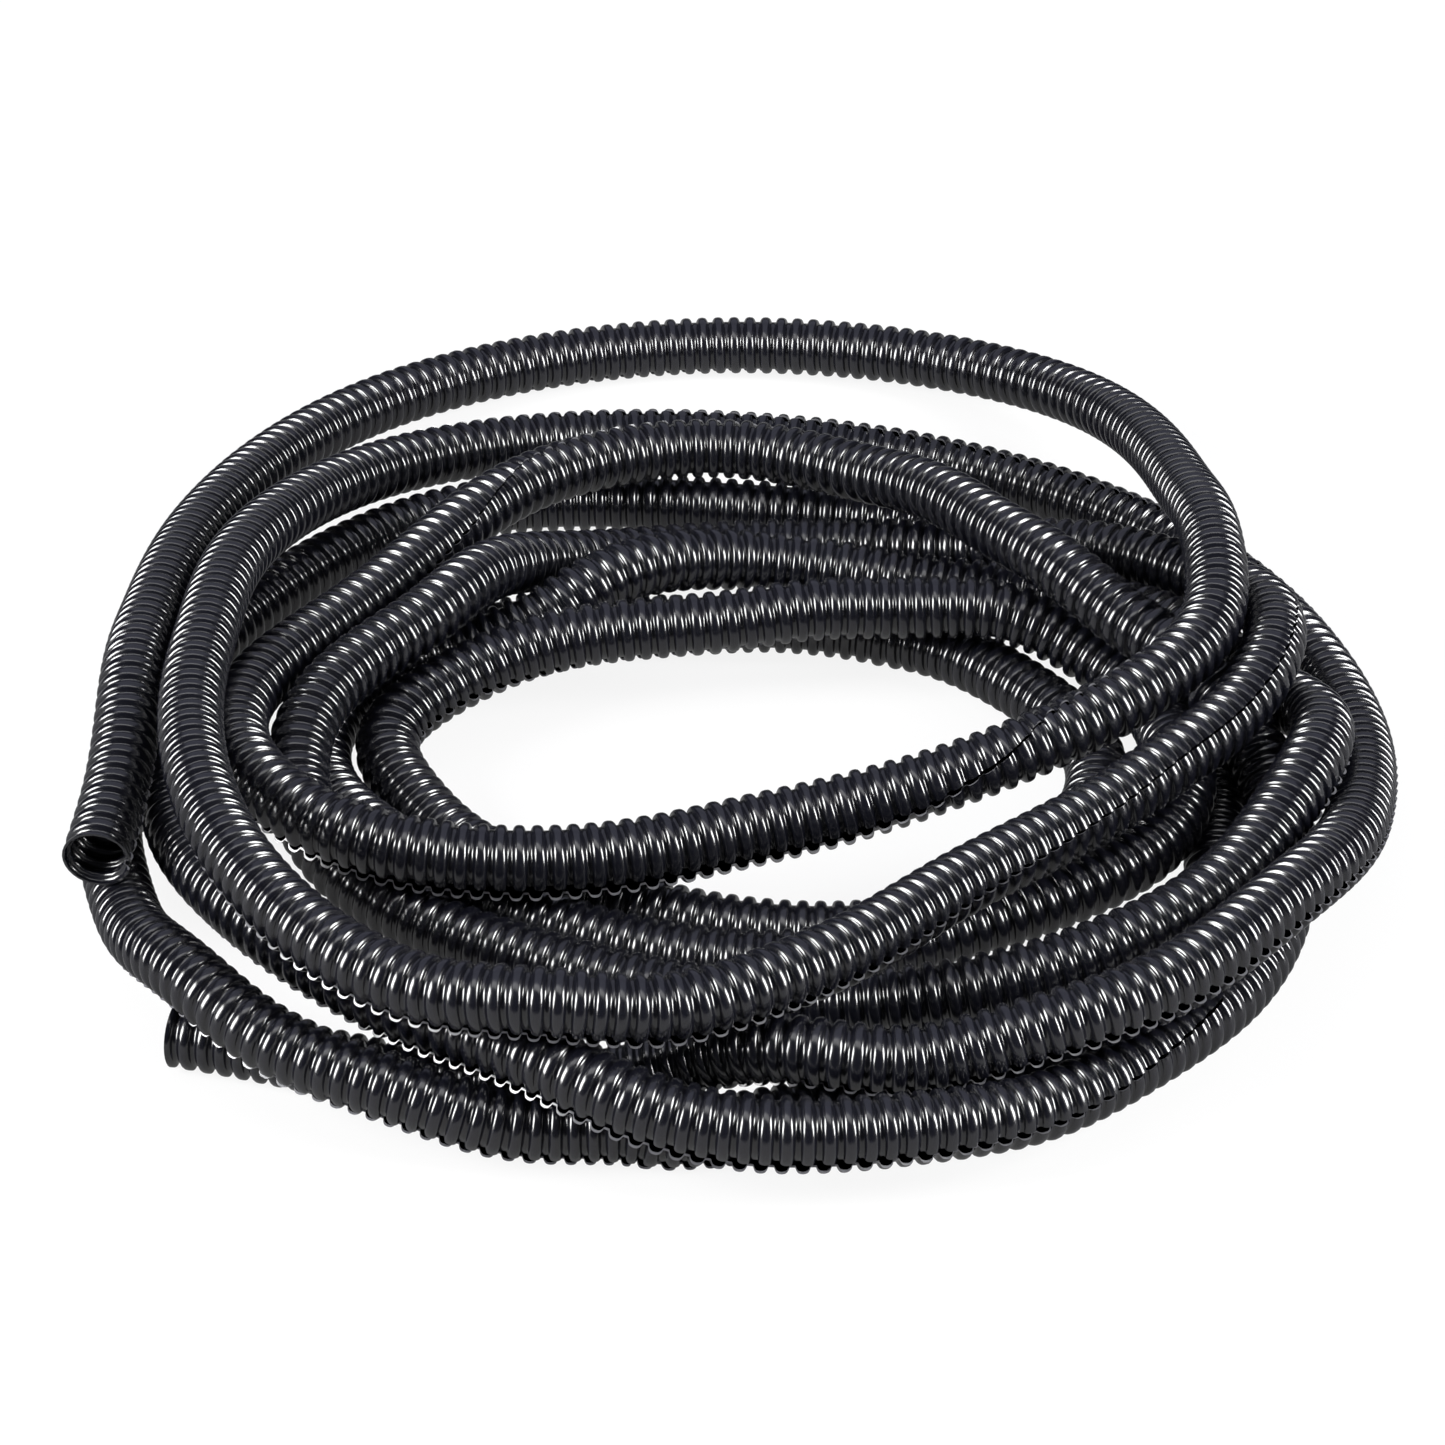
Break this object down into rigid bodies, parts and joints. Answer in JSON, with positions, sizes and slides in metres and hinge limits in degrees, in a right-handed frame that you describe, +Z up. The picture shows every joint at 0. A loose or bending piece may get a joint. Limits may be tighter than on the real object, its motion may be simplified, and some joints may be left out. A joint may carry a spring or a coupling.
{
  "type": "coil of split corrugated tubing",
  "caption": "Loose coil of slim black corrugated plastic tubing with two bare square-cut ends, slit along its length to take in and protect cables.",
  "frame": {"origin": "under the middle of the coil's box, on the surface that it lies on", "axes": "+Z up, away from the surface; +Y to the back of the coil, along its longer side; +X to the right"},
  "size_m": [0.266, 0.3177, 0.0447],
  "materials": {
    "black_plastic": "glossy moulded black plastic"
  },
  "bodies": {
    "root": {"hose": "black_plastic"}
  },
  "joints": []
}
